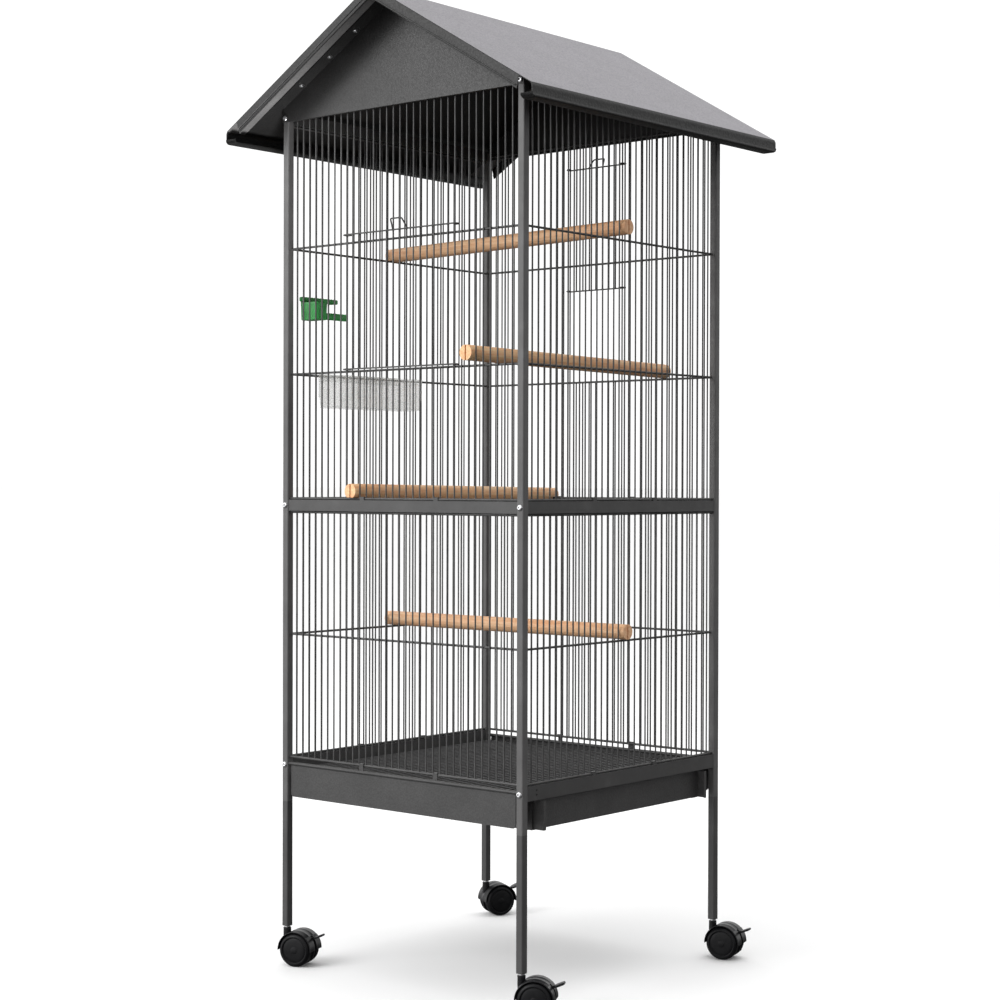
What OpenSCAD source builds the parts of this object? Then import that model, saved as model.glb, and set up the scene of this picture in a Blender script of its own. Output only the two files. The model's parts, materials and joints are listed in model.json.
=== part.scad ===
// Bird cage on a rolling stand, in millimetres.
// +Z is up, -Y is the gabled front, +X is the side that the tray leaves by.
// The origin is on the floor, at the middle of the four legs.

/* [Frame] */
// Distance between post centres, along both sides
post_pitch = 500; // [460:10:540]
// Outside width of the square posts and legs
post_w = 13; // [12:0.5:14]
// Wall thickness of the square tubes
tube_wall = 1.2; // [1:0.1:1.4]
// Corner radius of the square tubes
tube_corner = 2.5; // [1.5:0.5:3]
// Height of the foot of each leg above the floor
foot_z = 63; // [63:1:66]
// Height of the seam between a leg and its post
seam_z = 268; // [260:1:272]
// Height of the bolts that hold the base rails
base_bolt_z = 328; // [327:1:330]
// Height of the bolts that hold the middle rails
mid_bolt_z = 753; // [740:1:765]
// Height of the bolts that hold the top rails
top_bolt_z = 1385; // [1380:1:1385]
// Depth of the rails, from the outside to the inside
rail_d = 10; // [9:0.5:11]
// Height of the middle and top rails
rail_h = 18; // [16:1:20]
// Height of the base rails
base_rail_h = 22; // [20:1:22]

/* [Roof] */
// Height of the ridge
ridge_z = 1553; // [1550:1:1560]
// Distance from the ridge to an eave, measured level
roof_half_x = 325; // [310:5:330]
// Distance from the middle to a rake edge
roof_half_y = 320; // [305:1:325]
// Slope of the roof from level
roof_slope = 30.5; // [30:0.5:31]
// Thickness of the sheet metal
sheet_t = 1.2; // [1:0.1:1.5]
// Height of the turned-down roof edges
roof_edge_h = 20; // [16:1:24]
// Radius of the roof's rounded lower corners
roof_corner_r = 8; // [4:1:9]
// Width of the flange that joins a gable to the roof
gable_flange_w = 24; // [20:1:30]
// Height of the bottom edge of the gables
gable_z = 1379; // [1376:1:1380]

/* [Base] */
// Height of the skirt's bottom edge
skirt_z = 276; // [272:1:285]
// Height of the skirt's rolled top edge
skirt_roll_z = 330; // [328:1:331]
// Height of the tray
tray_h = 44; // [38:1:44]
// Width of the tray
tray_w = 426; // [420:2:426]
// Wall of the tray
tray_t = 1; // [0.8:0.1:1.2]
// How far the tray's end flanges stand out
tray_lip = 17; // [12:1:20]
// Distance between the floor grid's close wires
grid_pitch = 12; // [10:1:14]

/* [Wires] */
// Diameter of the upright wires
wire_d = 2.5; // [2:0.1:2.6]
// Diameter of the level wires
level_d = 3.6; // [3:0.1:4]
// Diameter of the rods along a panel's edges
rod_d = 4; // [3.5:0.1:4.2]
// How deep two welded wires sink into each other
weld = 0.3; // [0.2:0.05:0.4]
// Height of the level wire in the lower panels
low_level_z = 542; // [520:1:560]
// Height of the lower level wire in the upper panels
door_sill_z = 967; // [955:1:975]
// Height of the upper level wire in the upper panels
door_head_z = 1172; // [1165:1:1180]

/* [Doors] */
// Height of a sliding door
door_h = 214; // [210:1:218]
// How far the rear door is held up
rear_door_lift = 158; // [120:1:160]
// Height of the handle loops
handle_h = 16; // [14:1:18]
// How far the handle loops lean outwards
handle_lean = 9.6; // [6:0.1:11]

/* [Perches and feeders] */
// Diameter of the wooden perches
perch_d = 24; // [18:1:25]
// How far the perches reach past the upright wires
perch_poke = 8; // [5:1:10]
// Length of the green feeding cup
cup_l = 27; // [22:1:30]
// Depth of the green feeding cup
cup_depth = 40; // [34:1:42]
// Length of the clear feeding trough
trough_l = 202; // [170:2:210]
// Depth of the clear feeding trough
trough_depth = 58; // [50:1:65]
// Height of the clear feeding trough
trough_h = 54; // [44:1:56]

/* [Casters] */
// Diameter of the twin wheels
wheel_d = 54; // [52:1:54]
// Distance from the swivel axis to the wheels' axle
trail = 22; // [21:0.5:23]
// Width across both wheels
wheels_w = 44; // [40:1:46]
// Direction that each caster trails in: left front, right front, right rear, left rear
caster_turn = [20, 30, 15, 62];

/* [Hidden] */
$fn = 32;

slack = 0.1;       // gap between pieces that touch without a weld
over = 1;          // how far a cutting shape runs past what it cuts
frame_colour = [0.22, 0.22, 0.23];
sheet_colour = [0.30, 0.30, 0.31];
wire_colour = [0.18, 0.19, 0.20];
zinc_colour = [0.80, 0.80, 0.82];
wood_colour = [0.80, 0.58, 0.40];
plastic_colour = [0.06, 0.06, 0.07];

// the four corners, in the order left front, right front, right rear, left rear
CORNERS = [[-1, -1], [1, -1], [1, 1], [-1, 1]];
// the turn that brings the front side to each of the four sides
FRONT = 0;
RIGHT = 90;
REAR = 180;
LEFT = 270;

half = post_pitch / 2;
post_top_z = top_bolt_z + 7;
inner = half - post_w / 2;             // inside face of the posts
outer = half + post_w / 2;             // outside face of the posts
rail_bolt_levels = [base_bolt_z, mid_bolt_z, top_bolt_z];
bolt_d = 5;
bolt_hole_d = 5.4;
bolt_l = 34;

roof_l = roof_half_x / cos(roof_slope);
eave_z = ridge_z - roof_half_x * tan(roof_slope);
roof_corner_gap = 26;                  // how far short of the eave the rake edges stop
roof_screw_xs = [19, 82, 139, 203];
roof_screw_y = outer + 11;
roof_screw_d = 4;

wire_count = 33;
wire_pitch = 2 * inner / (wire_count + 1);
last_wire = (wire_count - 1) / 2;
bend_d = wire_d + 0.2;                 // a bent wire is a little thicker at its bends
level_y = wire_d / 2 + level_d / 2 - weld;
level_reach = level_y + level_d / 2 + 0.3;
rail_reach = post_w / 2 + 0.3;
tab_x = 5.5 * wire_pitch;
tab_w = 9;
base_rod_z = base_bolt_z + base_rail_h / 2 + rod_d / 2 + slack;
mid_top_rod_z = mid_bolt_z + rail_h / 2 + rod_d / 2 + slack;
mid_low_rod_z = mid_bolt_z - rail_h / 2 - rod_d / 2 - slack;
side_top_rod_z = top_bolt_z - rail_h / 2 - rod_d / 2 - slack;
gable_rod_z = gable_z + 5;

front_door_reach = 8;                  // pitches from the middle to a guide wire
rear_door_reach = 4;
door_y = -(wire_d + 1);                // the door's upright wires run outside the panel
door_cross_y = door_y - wire_d + weld;
door_rest_z = door_sill_z + level_d / 2 + bend_d / 2 + 0.4;
door_shift = 3;                        // how far the door's upright wires stand to one side
handle_shift = 5.5;                    // how far the handle loop stands to the same side

ledge_z = 269.6;                       // underside of the ledge that the tray rests on
tray_z = ledge_z + sheet_t + slack;
runner_y = tray_w / 2 + 2;
runner_top_z = 316.5;
grid_z = runner_top_z + sheet_t + level_d / 2 + slack;

axle_z = wheel_d / 2;
wheel_gap = 12.6;                      // space between the twin wheels
hood_r = wheel_d / 2 + 3.5;
hood_t = 2;
hood_w = wheels_w - 2;
web_w = 11;
neck_d = 12;
neck_top_z = foot_z - 2.4;
stem_d = 7;
axle_d = 6;
fit = 0.08;                            // radial room around a turning pin
side_gap = 0.3;                        // room beside a turning piece
pivot_turn = 38;                       // where the brake pivot lies around the axle
pivot_r = 25.5;
pivot_pin_d = 2.6;
pivot_x = trail + pivot_r * cos(pivot_turn);
pivot_z = axle_z + pivot_r * sin(pivot_turn);
lever_tilt = 22;
lever_l = 25;
lever_w = 16;
lever_t = 3.4;
tongue_w = 6;

// ---- shared shapes ----

// a flat rectangle about the origin with round corners
module rounded_square(w, h, r) {
    square([w - 2 * r, h], center = true);
    square([w, h - 2 * r], center = true);
    for (x = [-1, 1], y = [-1, 1])
        translate([x * (w / 2 - r), y * (h / 2 - r)])
            circle(r);
}

// a square tube of the frame, standing on the XY plane
module square_tube(l) {
    difference() {
        linear_extrude(l)
            rounded_square(post_w, post_w, tube_corner);
        translate([0, 0, -over])
            linear_extrude(l + 2 * over)
                square(post_w - 2 * tube_wall, center = true);
    }
}

// a rod along +X
module rod_x(d, l) {
    rotate([0, 90, 0])
        cylinder(d = d, h = l);
}

// a rod along +Y, centred
module rod_y(d, l) {
    rotate([90, 0, 0])
        cylinder(d = d, h = l, center = true);
}

// a wire from one point to another
module wire_between(a, b, d) {
    run = b - a;
    translate(a)
        rotate([0, acos(run[2] / norm(run)), atan2(run[1], run[0])])
            cylinder(d = d, h = norm(run));
}

// puts a shape of the front side on one of the four sides
module on_side(turn) {
    rotate([0, 0, turn])
        translate([0, -half, 0])
            children();
}

// ---- frame ----

module post(corner) {
    place = CORNERS[corner];
    color(frame_colour)
        difference() {
            translate([place[0] * half, place[1] * half, seam_z])
                square_tube(post_top_z - seam_z);
            for (z = rail_bolt_levels)
                translate([place[0] * half, place[1] * half, z])
                    rod_y(bolt_hole_d, post_w + 2 * over);
        }
}

module leg(corner) {
    place = CORNERS[corner];
    color(frame_colour)
        translate([place[0] * half, place[1] * half, foot_z])
            square_tube(seam_z - foot_z);
}

// square plugs inside each leg and post, across the seam
module leg_joiners() {
    joiner_w = post_w - 2 * tube_wall - 2 * slack;
    color(frame_colour)
        for (place = CORNERS)
            translate([place[0] * half - joiner_w / 2, place[1] * half - joiner_w / 2, seam_z - 30])
                cube([joiner_w, joiner_w, 60]);
}

// plugs in the feet, which hold the caster stems
module leg_plugs() {
    plug_w = post_w - 2 * tube_wall - 2 * slack;
    color(plastic_colour)
        for (place = CORNERS)
            translate([place[0] * half, place[1] * half, foot_z])
                difference() {
                    translate([-plug_w / 2, -plug_w / 2, 0])
                        cube([plug_w, plug_w, 26]);
                    translate([0, 0, -over])
                        cylinder(d = stem_d + slack, h = 26 + 2 * over);
                }
}

// a hollow rail between two posts, in the frame of the front side
module rail_tube(h, z) {
    difference() {
        translate([-inner, -rail_d / 2, z - h / 2])
            cube([2 * inner, rail_d, h]);
        translate([-inner - over, -rail_d / 2 + tube_wall, z - h / 2 + tube_wall])
            cube([2 * (inner + over), rail_d - 2 * tube_wall, h - 2 * tube_wall]);
    }
}

// a sheet tab that reaches up over a panel's bottom rod
module rod_tab(foot, rod_z) {
    tab_y = -rod_d / 2 - slack - sheet_t;
    top_z = rod_z + rod_d / 2 + slack;
    translate([-tab_w / 2, tab_y, foot])
        cube([tab_w, sheet_t, top_z - foot]);
    translate([-tab_w / 2, tab_y, top_z])
        cube([tab_w, rod_d, sheet_t]);
}

module mid_rail(turn) {
    color(frame_colour)
        on_side(turn) {
            rail_tube(rail_h, mid_bolt_z);
            for (x = [-tab_x, tab_x])
                translate([x, 0, 0])
                    rod_tab(mid_bolt_z + rail_h / 2 - tube_wall / 2, mid_top_rod_z);
        }
}

module top_rail(turn) {
    color(frame_colour)
        on_side(turn)
            rail_tube(rail_h, top_bolt_z);
}

module base_rail(turn) {
    screw_x = -inner + 22;
    color(frame_colour)
        on_side(turn)
            difference() {
                union() {
                    rail_tube(base_rail_h, base_bolt_z);
                    for (x = [-tab_x, tab_x])
                        translate([x, 0, 0])
                            rod_tab(base_bolt_z + base_rail_h / 2 - tube_wall / 2, base_rod_z);
                }
                for (z = [-3, 4])
                    translate([screw_x, -rail_d / 2, base_bolt_z + z])
                        rod_y(2.6, 2 * tube_wall + 0.2);
            }
}

// bolts through the posts into the ends of the side rails
module frame_bolts() {
    color(zinc_colour)
        for (place = CORNERS, z = rail_bolt_levels) {
            sheet = z == top_bolt_z ? sheet_t : 0;
            translate([place[0] * half, place[1] * (outer + sheet), z])
                rotate([place[1] * 90, 0, 0])
                    bolt(bolt_l);
        }
}

// a round-headed bolt, its shank along +Z and its socket in the head below
module bolt(l) {
    head_d = 9.5;
    head_h = 2.8;
    difference() {
        union() {
            cylinder(d = bolt_d, h = l);
            intersection() {
                translate([0, 0, -head_h])
                    cylinder(d = head_d, h = head_h);
                translate([0, 0, 2.6])
                    sphere(d = 11.4, $fn = 48);
            }
        }
        translate([0, 0, -head_h - over])
            cylinder(d = 3.5, h = over + 1.8, $fn = 6);
    }
}

// threaded blocks inside the ends of the side rails
module rail_nuts() {
    nut_l = 16;
    nut_w = rail_d - 2 * tube_wall - 2 * slack;
    nut_h = rail_h - 2 * tube_wall - 2 * slack;
    color(zinc_colour)
        for (place = CORNERS, z = rail_bolt_levels)
            translate([place[0] * half, place[1] * (inner - nut_l / 2), z])
                difference() {
                    cube([nut_w, nut_l, nut_h], center = true);
                    rod_y(bolt_d + slack, nut_l + 2 * over);
                }
}

// ---- roof ----

// brings +X down along the right-hand slope, from the ridge
module along_slope() {
    translate([0, 0, ridge_z])
        rotate([0, roof_slope, 0])
            children();
}

// the outline of a turned-down rake edge, seen from the front. It stops short of the
// eave, so the folded eave is open at its ends
module rake_outline() {
    end_x = roof_half_x - roof_corner_gap;
    end_z = ridge_z - end_x * tan(roof_slope);
    cut_back = 0.3 * roof_edge_h;
    polygon([
        [slack, ridge_z], [end_x, end_z],
        [end_x - cut_back, end_z + cut_back * tan(roof_slope) - roof_edge_h],
        [slack, ridge_z - roof_edge_h]
    ]);
}

module roof_holes() {
    for (x = roof_screw_xs, side = [-1, 1])
        along_slope()
            translate([x / cos(roof_slope), side * roof_screw_y, -3 * sheet_t])
                cylinder(d = roof_screw_d + 2 * side_gap, h = 3 * sheet_t + over);
}

// the right half of the roof
module roof_half() {
    return_w = 22;
    difference() {
        union() {
            along_slope()
                translate([0, -roof_half_y, -sheet_t])
                    cube([roof_l, 2 * roof_half_y, sheet_t]);
            for (y = [-roof_half_y + sheet_t, roof_half_y])
                translate([0, y, 0])
                    rotate([90, 0, 0])
                        linear_extrude(sheet_t)
                            rake_outline();
            translate([roof_half_x - sheet_t, 0, eave_z - roof_edge_h / 2])
                rotate([90, 0, 90])
                    linear_extrude(sheet_t)
                        rounded_square(2 * roof_half_y, roof_edge_h, roof_corner_r);
            translate([roof_half_x - return_w, -roof_half_y + 2 * roof_corner_r, eave_z - roof_edge_h])
                cube([return_w, 2 * roof_half_y - 4 * roof_corner_r, sheet_t]);
            translate([slack, -inner, ridge_z - 16])
                cube([sheet_t, 2 * inner, 15]);
        }
        translate([-over, -roof_half_y - over, ridge_z - 5])
            cube([over + slack, 2 * (roof_half_y + over), 10]);
        roof_holes();
    }
}

module roof_right() {
    color(sheet_colour)
        roof_half();
}

module roof_left() {
    color(sheet_colour)
        mirror([1, 0, 0])
            roof_half();
}

// a gable sheet with flanges that the roof is screwed to, for the front
module gable() {
    sheet_half_x = outer - 0.5;
    top_gap = (1.5 * sheet_t + 2 * slack) / cos(roof_slope);
    side_z = ridge_z - sheet_half_x * tan(roof_slope) - top_gap;
    flange_l = sheet_half_x / cos(roof_slope) - 8;
    color(sheet_colour)
        difference() {
            union() {
                translate([0, -outer, 0])
                    rotate([90, 0, 0])
                        linear_extrude(sheet_t)
                            polygon([
                                [-sheet_half_x, gable_z], [sheet_half_x, gable_z],
                                [sheet_half_x, side_z], [0, ridge_z - top_gap], [-sheet_half_x, side_z]
                            ]);
                translate([-inner + over, -outer - sheet_t, gable_z])
                    cube([2 * (inner - over), sheet_t + 4, sheet_t]);
                for (side = [0, 1])
                    mirror([side, 0, 0])
                        along_slope()
                            translate([6, -outer - gable_flange_w, -2 * sheet_t - 2 * slack])
                                cube([flange_l, gable_flange_w, sheet_t]);
            }
            roof_holes();
            mirror([1, 0, 0])
                roof_holes();
            for (side = [-1, 1])
                translate([side * half, -outer, top_bolt_z])
                    rod_y(bolt_hole_d, 4 * sheet_t);
        }
}

module gable_front() {
    gable();
}

module gable_rear() {
    mirror([0, 1, 0])
        gable();
}

// screws from below, through the gable flanges into the roof
module roof_screws() {
    head_z = -2 * sheet_t - 2 * slack;
    color(zinc_colour)
        for (x = roof_screw_xs, side = [-1, 1], half_turn = [0, 1])
            mirror([half_turn, 0, 0])
                along_slope()
                    translate([x / cos(roof_slope), side * roof_screw_y, head_z]) {
                        cylinder(d = roof_screw_d, h = -head_z - slack);
                        translate([0, 0, -1.2])
                            cylinder(d = 8.4, h = 1.2);
                        translate([0, 0, -2.4])
                            cylinder(d = 6, h = 1.2);
                    }
}

// ---- base ----

// a skirt sheet with a rolled top edge, in the frame of the front side
module skirt(roll_y) {
    skirt_half_x = inner - 4;
    skirt_h = skirt_roll_z - skirt_z;
    color(sheet_colour) {
        translate([0, roll_y + sheet_t / 2, skirt_z + skirt_h / 2])
            rotate([90, 0, 0])
                linear_extrude(sheet_t)
                    rounded_square(2 * skirt_half_x, skirt_h, 6);
        translate([-inner, roll_y, skirt_roll_z])
            rod_x(6, 2 * inner);
    }
}

// the skirt under a panel that has no base rail, with tabs over the panel's bottom rod
module tabbed_skirt(turn) {
    on_side(turn) {
        skirt(-1.4);
        color(sheet_colour)
            for (x = [-tab_x, tab_x])
                translate([x, 0, 0])
                    rod_tab(skirt_roll_z, base_rod_z);
    }
}

module skirt_left() {
    on_side(LEFT)
        skirt(-rail_d / 2 - 3.1);
}

// channels along the front and rear that carry the tray and the floor grid
module tray_runners() {
    runner_x0 = -inner + 4;
    runner_l = 2 * inner - 6;
    color(sheet_colour)
        for (side = [0, 1])
            mirror([0, side, 0]) {
                translate([runner_x0, -runner_y - sheet_t, ledge_z])
                    cube([runner_l, sheet_t, runner_top_z + sheet_t - ledge_z]);
                translate([runner_x0, -runner_y - sheet_t, ledge_z])
                    cube([runner_l, 16, sheet_t]);
                translate([runner_x0, -half + 1.6, runner_top_z])
                    cube([runner_l, half - runner_y - 1.6, sheet_t]);
            }
}

// the slide-out tray; its front has a flange turned outwards at each end
module tray() {
    front_x = inner + 1;
    back_x = -inner + 6;
    tray_l = front_x - back_x;
    color(sheet_colour) {
        translate([back_x, -tray_w / 2, tray_z])
            difference() {
                cube([tray_l, tray_w, tray_h]);
                translate([tray_t, tray_t, tray_t])
                    cube([tray_l - 2 * tray_t, tray_w - 2 * tray_t, tray_h]);
            }
        for (side = [0, 1])
            mirror([0, side, 0]) {
                translate([front_x - over, -tray_w / 2, tray_z])
                    cube([tray_lip + over, tray_t, tray_h]);
                translate([front_x + tray_lip - tray_t, -tray_w / 2, tray_z])
                    cube([tray_t, 6, tray_h]);
            }
    }
}

module floor_grid() {
    grid_half = inner - 5;
    close_n = floor(grid_half / grid_pitch);
    cross_n = 2;
    cross_pitch = (grid_half - 4) / cross_n;
    color(wire_colour) {
        for (i = [-close_n : close_n])
            translate([i * grid_pitch, 0, grid_z + level_y])
                rod_y(wire_d, 2 * grid_half);
        for (j = [-cross_n : cross_n])
            translate([-close_n * grid_pitch - 2, j * cross_pitch, grid_z])
                rod_x(level_d, 2 * close_n * grid_pitch + 4);
    }
}

// ---- wire panels and doors ----

// a panel of upright wires between two rods, with level wires on its inside.
// Wires within gap_n pitches of the middle stop at the first and last level wires.
module wire_panel(low_z, high_z, levels, gap_n) {
    for (i = [-last_wire : last_wire])
        if (abs(i) > gap_n)
            translate([i * wire_pitch, 0, low_z])
                cylinder(d = wire_d, h = high_z - low_z);
        else {
            translate([i * wire_pitch, 0, low_z])
                cylinder(d = wire_d, h = levels[0] - low_z);
            translate([i * wire_pitch, 0, levels[1]])
                cylinder(d = wire_d, h = high_z - levels[1]);
        }
    for (z = [low_z, high_z])
        translate([-inner, 0, z])
            rod_x(rod_d, 2 * inner);
    for (z = levels)
        translate([-inner, level_y, z])
            rod_x(level_d, 2 * inner);
}

module wires_upper(turn, top_z, gap_n) {
    color(wire_colour)
        on_side(turn)
            wire_panel(mid_top_rod_z, top_z, [door_sill_z, door_head_z], gap_n);
}

module wires_lower(turn) {
    color(wire_colour)
        on_side(turn)
            wire_panel(base_rod_z, mid_low_rod_z, [low_level_z], -1);
}

// one of the door's level wires, hooked round the guide wires at both ends
module door_cross(guide_x) {
    hook_r = -door_cross_y;
    translate([-guide_x - weld, door_cross_y, 0])
        rod_x(wire_d, 2 * (guide_x + weld));
    for (side = [0, 1])
        mirror([side, 0, 0])
            translate([guide_x, 0, 0]) {
                rotate([0, 0, -90])
                    rotate_extrude(angle = 180)
                        translate([hook_r, 0])
                            circle(d = bend_d);
                translate([-3, hook_r, 0])
                    rod_x(wire_d, 3 + weld);
            }
}

module door_handle() {
    foot = [15.3, door_cross_y, 0];
    head = [11.8, door_cross_y - handle_lean, handle_h];
    left_foot = [-foot[0], foot[1], foot[2]];
    left_head = [-head[0], head[1], head[2]];
    wire_between(foot, head, wire_d);
    wire_between(left_foot, left_head, wire_d);
    wire_between(left_head, head, wire_d);
    for (end = [head, left_head])
        translate(end)
            sphere(d = bend_d);
}

// a sliding door of wires that hangs on two guide wires of its panel
module door(turn, reach, z) {
    guide_x = reach * wire_pitch;
    color(wire_colour)
        on_side(turn)
            translate([0, 0, z]) {
                for (i = [1 - reach : reach - 1])
                    translate([i * wire_pitch + door_shift, door_y, 0])
                        cylinder(d = wire_d, h = door_h);
                for (level = [0, door_h])
                    translate([0, 0, level])
                        door_cross(guide_x);
                translate([handle_shift, 0, door_h])
                    door_handle();
            }
}

// ---- perches and feeders ----

// a dowel between opposite walls. Each end is sawn to pass over one upright wire,
// and rebated below where it lies lower than the wire that carries it. rise tells how
// far each end lies above its resting height; reach is the depth of what carries it
module perch(turn, offset, rest_z, reach, rise) {
    wire_room = wire_d + 2 * side_gap;
    tilt = atan((rise[1] - rise[0]) / (2 * half));
    end_l = half + perch_poke;
    middle_z = rest_z + slack + perch_d / 2 + (rise[0] + rise[1]) / 2;
    color(wood_colour)
        rotate([0, 0, turn])
            translate([0, offset, 0])
                difference() {
                    translate([0, 0, middle_z])
                        rotate([0, -tilt, 0])
                            translate([-end_l, 0, 0])
                                rod_x(perch_d, 2 * end_l);
                    for (side = [0, 1])
                        mirror([side, 0, 0]) {
                            translate([half - wire_d / 2 - side_gap, -wire_room / 2, rest_z - over])
                                cube([perch_poke + 4, wire_room, 2 * perch_d]);
                            translate([half - reach, -perch_d, rest_z + slack - perch_d])
                                cube([reach + perch_poke + over, 2 * perch_d, perch_d]);
                        }
                }
}

// a hooked finger that holds a feeder on the upright wires, at y = 0
module wire_finger(h) {
    reach = wire_d + 4;
    translate([-reach, -2.5, 0])
        cube([reach, 5, h]);
    translate([-reach, -5, 0])
        cube([2, 10, h]);
}

// the green cup on the left wall: a bowl under a clip bar, with a landing at its side
module feeding_cup() {
    cup_z = 1057;
    rim_z = cup_z + 29;
    bar_z = rim_z + 2;
    bar_h = 8;
    bar_d = 7.8;
    wall_x = -half + wire_d / 2 + 0.4;
    y0 = -228;
    t = 1.8;
    landing = [8, 46, 12];
    finger_y = [-13.5, -10.5];
    color([0.05, 0.50, 0.20]) {
        difference() {
            translate([wall_x + t, y0, cup_z])
                cube([cup_depth, cup_l, bar_z + bar_h / 2 - cup_z]);
            translate([wall_x + 2 * t, y0 + t, cup_z + t])
                cube([cup_depth - 2 * t, cup_l - 2 * t, 2 * (rim_z - cup_z)]);
            translate([wall_x + bar_d, y0 - over, rim_z])
                cube([cup_depth, cup_l + 2 * over, rim_z - cup_z]);
        }
        translate([wall_x, y0, bar_z])
            cube([bar_d, 84, bar_h]);
        translate([wall_x + t + cup_depth - landing[0], y0 + cup_l - over, cup_z])
            cube([landing[0], landing[1] + over, landing[2]]);
        for (i = finger_y)
            translate([wall_x + 0.5, i * wire_pitch, bar_z])
                wire_finger(bar_h);
    }
}

// the clear trough that hangs on the left wall's level wire
module feeding_trough() {
    wall_x = -half + level_y + level_d / 2 + slack;
    z0 = door_sill_z - trough_h;
    hook_x = -half + wire_d / 2 + slack;
    y0 = -191;
    t = 2;
    lip_z = door_sill_z + level_d / 2 + slack;
    color([0.92, 0.92, 0.94, 0.6])
        difference() {
            union() {
                translate([wall_x + trough_depth / 2, y0 + trough_l / 2, z0])
                    linear_extrude(trough_h)
                        rounded_square(trough_depth, trough_l, 6);
                translate([wall_x, y0 + 6, z0 + trough_h - 10])
                    cube([t, trough_l - 12, lip_z + t - z0 - trough_h + 10]);
                translate([hook_x, y0 + 6, lip_z])
                    cube([wall_x + t - hook_x, trough_l - 12, t]);
            }
            translate([wall_x + trough_depth / 2, y0 + trough_l / 2, z0 + t])
                linear_extrude(trough_h)
                    rounded_square(trough_depth - 2 * t, trough_l - 2 * t, 4);
        }
}

// ---- casters: built with the swivel axis at the origin, trailing along +X ----

module on_caster(corner) {
    place = CORNERS[corner];
    translate([place[0] * half, place[1] * half, 0])
        rotate([0, 0, caster_turn[corner]])
            children();
}

// stems that the casters swivel on, each with a bright collar under the leg
module caster_stems() {
    stem_z = 36;
    color(zinc_colour)
        for (place = CORNERS)
            translate([place[0] * half, place[1] * half, 0]) {
                translate([0, 0, stem_z])
                    cylinder(d = stem_d, h = foot_z + 24 - stem_z);
                translate([0, 0, neck_top_z + side_gap])
                    cylinder(d = 10, h = foot_z - neck_top_z - side_gap);
            }
}

module caster_hood() {
    translate([trail, 0, axle_z])
        difference() {
            union() {
                rod_y(2 * hood_r, hood_w);
                translate([-trail, 0, 0])
                    cylinder(d = neck_d, h = neck_top_z - axle_z);
            }
            for (side = [0, 1])
                mirror([0, side, 0])
                    translate([0, web_w / 2 + hood_w / 2, 0])
                        rod_y(2 * (hood_r - hood_t), hood_w);
            for (side = [-1, 1])
                translate([-2 * hood_r, side * (hood_w / 2 + web_w / 2) - hood_w / 2, -hood_r - over])
                    cube([4 * hood_r, hood_w, hood_r + over - 1]);
            translate([-2 * hood_r, -hood_w, -hood_r - over])
                cube([4 * hood_r, 2 * hood_w, hood_r + over - 14]);
            rod_y(axle_d + 2 * fit, hood_w);
            translate([-trail, 0, 34 - axle_z])
                cylinder(d = stem_d + 2 * fit, h = foot_z);
            translate([pivot_x - trail, 0, pivot_z - axle_z])
                rotate([0, -(lever_tilt - 9), 0])
                    translate([-4.7, -tongue_w / 2 - side_gap, -4.7])
                        cube([26, tongue_w + 2 * side_gap, 9.4]);
        }
    translate([pivot_x, 0, pivot_z])
        rod_y(pivot_pin_d, web_w - over);
}

module hood(corner) {
    color(plastic_colour)
        on_caster(corner)
            caster_hood();
}

// one wheel's outline: radius along X, from the inner face up
module wheel_outline() {
    w = (wheels_w - wheel_gap) / 2;
    r = wheel_d / 2;
    polygon([
        [0, 0], [r - 2, 0], [r, 2], [r, w - 4], [r - 1.2, w - 1.4], [r - 3, w],
        [r - 5, w], [r - 6, w - 1.4], [0, w - 1.4]
    ]);
}

// twin wheels on their axle
module caster_wheels() {
    translate([trail, 0, axle_z]) {
        rod_y(axle_d, wheels_w - 6);
        for (side = [0, 1])
            mirror([0, side, 0])
                translate([0, wheel_gap / 2, 0])
                    rotate([-90, 0, 0])
                        rotate_extrude($fn = 64)
                            wheel_outline();
    }
}

module wheels(corner) {
    color(plastic_colour)
        on_caster(corner)
            caster_wheels();
}

// the brake lever, a pedal on a tongue that turns on the hood's pin
module brake_lever() {
    pedal_x = 9.5;
    pedal_l = lever_l - pedal_x;
    translate([pivot_x, 0, pivot_z])
        rotate([0, -lever_tilt, 0])
            difference() {
                union() {
                    rotate([90, 0, 0])
                        translate([0, 0, -tongue_w / 2])
                            linear_extrude(tongue_w) {
                                circle(d = 8);
                                translate([0, -2])
                                    square([pedal_x + 3, 4]);
                            }
                    translate([pedal_x + pedal_l / 2, 0, -lever_t / 2])
                        linear_extrude(lever_t)
                            rounded_square(pedal_l, lever_w, 3.5);
                }
                rod_y(pivot_pin_d + 2 * fit, tongue_w + 2 * over);
            }
}

module brake(corner) {
    color(plastic_colour)
        on_caster(corner)
            brake_lever();
}

// ---- every node ----

post(0);  // post_left_front
post(1);  // post_right_front
post(2);  // post_right_rear
post(3);  // post_left_rear
leg(0);  // leg_left_front
leg(1);  // leg_right_front
leg(2);  // leg_right_rear
leg(3);  // leg_left_rear
leg_joiners();
leg_plugs();
caster_stems();
roof_left();
roof_right();
gable_front();
gable_rear();
top_rail(LEFT);  // top_rail_left
top_rail(RIGHT);  // top_rail_right
mid_rail(FRONT);  // mid_rail_front
mid_rail(RIGHT);  // mid_rail_right
mid_rail(REAR);  // mid_rail_rear
mid_rail(LEFT);  // mid_rail_left
tabbed_skirt(FRONT);  // skirt_front
tabbed_skirt(REAR);  // skirt_rear
skirt_left();
base_rail(LEFT);  // base_rail_left
base_rail(RIGHT);  // base_rail_right
tray_runners();
tray();
floor_grid();
wires_upper(FRONT, gable_rod_z, front_door_reach - 1);  // wires_upper_front
wires_upper(RIGHT, side_top_rod_z, -1);  // wires_upper_right
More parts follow.
